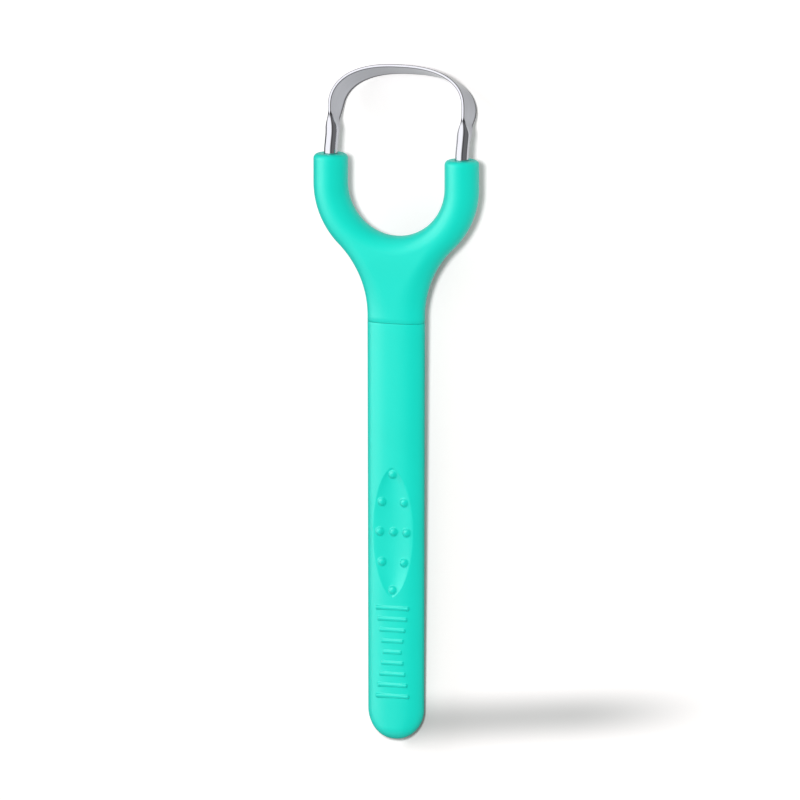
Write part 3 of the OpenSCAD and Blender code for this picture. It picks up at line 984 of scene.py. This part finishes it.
def table_white():
    """White to the camera but for the painted shadow beside the tail, mid grey to soft light, and in
    reflections white within pale_reach of mirror_middle and dark past dark_reach."""
    material, nodes, links, shader = new_material("table_white")
    path, where = nodes.new("ShaderNodeLightPath"), nodes.new("ShaderNodeTexCoord")
    away = nodes.new("ShaderNodeVectorMath")
    away.operation = "DISTANCE"
    away.inputs[1].default_value = mirror_middle
    links.new(where.outputs["Object"], away.inputs[0])
    share = step_between(nodes, links, away.outputs["Value"], pale_reach, dark_reach, "LINEAR")
    mirrored = mix_colours(nodes, links, share, mirrored_near, mirrored_far)
    tint = mix_colours(nodes, links, path.outputs["Is Glossy Ray"], table_for_soft_rays, mirrored)
    # Painted shadow beside the tail, in the colour that the camera sees
    painted_shadow = painted_shadow_band(nodes, links, where.outputs["Object"])
    shown = mix_colours(nodes, links, painted_shadow, table_shown, painted_shadow_shown)
    for seen in ("Is Transmission Ray", "Is Camera Ray"):
        tint = mix_colours(nodes, links, path.outputs[seen], tint, shown)
    links.new(tint, shader.inputs["Base Color"])
    shader.inputs["Roughness"].default_value = 1.0
    shader.inputs["Specular IOR Level"].default_value = 0.0
    return material


table = floor_plane()
dress(table, table_white())


# %% [markdown]
# The lamps give the object its shading. The key stands close to the camera's own direction, so the shadow
# stays narrow. The side lamp is low on the left: it lights the left flanks and adds little to the table.
# The two panels only show as sheen, and only in the soft skins: one on the left flanks, the other on top
# of the nubs and ribs.

# %% Lamps
def area_lamp(name, direction, distance, size, level):
    """A round lamp that gives a white surface square to it this level: power = level·π²·distance²."""
    lamp = bpy.data.lights.new(name, "AREA")
    lamp.shape, lamp.size, lamp.energy = "DISK", size, level * (math.pi * distance) ** 2
    obj = bpy.data.objects.new(name, lamp)
    obj.location = Vector(direction).normalized() * distance
    obj.rotation_euler = (-Vector(direction)).to_track_quat("-Z", "Y").to_euler()
    obj.visible_glossy = obj.visible_camera = False
    bpy.context.collection.objects.link(obj)
    print(f"{name}: {lamp.energy:.2f} W")
    return obj


def show_as_sheen(lamp, pieces):
    """Lets glossy rays alone see the lamp, and only those that come from these pieces."""
    lamp.visible_glossy, lamp.visible_diffuse = True, False
    lit = bpy.data.collections.new(lamp.name + "_lights")
    lamp.light_linking.receiver_collection = lit
    for piece in pieces:
        lit.objects.link(piece)


area_lamp("key", direction=(0.19, 0.25, 1), distance=1.5, size=0.2, level=0.59)
area_lamp("left_side", direction=(-0.85, 0.4, 0.36), distance=1.2, size=0.6, level=0.2)
top_panel = area_lamp("top_panel", direction=(-0.3, 0.65, 0.7), distance=1.2, size=0.8, level=0.5)
left_panel = area_lamp("left_panel", direction=(-0.76, 0.16, 0.55), distance=1.2, size=1.3, level=0.85)
show_as_sheen(top_panel, [sleeve])
show_as_sheen(left_panel, [sleeve, cover])

# %% World
soft_left, soft_right, soft_strength = (0.72, 0.74, 0.78), (0.85, 0.87, 0.75), 0.42
tent_strength = 1.5
# Levels of the tent by place: 0 is far left, 0.5 overhead and 1 far right
tent_stops = [(0, 1.0), (0.46, 1.0), (0.54, 0.45), (0.58, 0.07), (0.70, 0.07), (0.78, 0.14), (1, 0.14)]


def background(nodes, links, strength, colour):
    shader = nodes.new("ShaderNodeBackground")
    shader.inputs["Strength"].default_value = strength
    if isinstance(colour, tuple):
        shader.inputs["Color"].default_value = (*colour, 1)
    else:
        links.new(colour, shader.inputs["Color"])
    return shader.outputs["Background"]


def across_ramp(nodes, links, stops):
    """Colours by where a direction points across the object: 0 is far left, 0.5 overhead, 1 far right."""
    where, split = nodes.new("ShaderNodeTexCoord"), nodes.new("ShaderNodeSeparateXYZ")
    links.new(where.outputs["Generated"], split.inputs["Vector"])
    share = step_between(nodes, links, split.outputs["X"], -1.0, 1.0, "LINEAR")
    return add_ramp(nodes, links, share, stops)


def light_room():
    """Soft light, a little brighter and warmer from the right; for reflections a white tent on the left, a
    dark strip right of overhead and dark grey on the right; and white to the camera."""
    world = bpy.data.worlds.new("room")
    world.use_nodes = True
    nodes, links = world.node_tree.nodes, world.node_tree.links
    path = nodes.new("ShaderNodeLightPath")
    soft_colour = across_ramp(nodes, links, [(0, soft_left), (1, soft_right)])
    seen = background(nodes, links, soft_strength, soft_colour)
    tent_colour = across_ramp(nodes, links, [(place, grey(level)) for place, level in tent_stops])
    tent = background(nodes, links, tent_strength, tent_colour)
    white = background(nodes, links, strength=1.0, colour=grey(1.0))
    for ray, shown in (("Is Glossy Ray", tent), ("Is Transmission Ray", white), ("Is Camera Ray", white)):
        blend = nodes.new("ShaderNodeMixShader")
        links.new(path.outputs[ray], blend.inputs["Fac"])
        links.new(seen, blend.inputs[1])
        links.new(shown, blend.inputs[2])
        seen = blend.outputs["Shader"]
    links.new(seen, nodes["World Output"].inputs["Surface"])
    world.cycles.sampling_method = "NONE"
    bpy.context.scene.world = world


light_room()
bpy.context.scene.view_settings.view_transform = "Standard"

# %% [markdown]
# ## The two boxes
#
# The imported model's box and the dressed model's box are both kept. The dressed model has to
# fill the same box as the imported one.

# %% The two boxes
low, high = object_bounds()
sizes = {"cad": cad_box, "visual": [[float(c) for c in low], [float(c) for c in high]]}
visual_mm = [[round(1000 * c, 2) for c in corner] for corner in sizes["visual"]]
print("the dressed model's box in mm:", visual_mm)
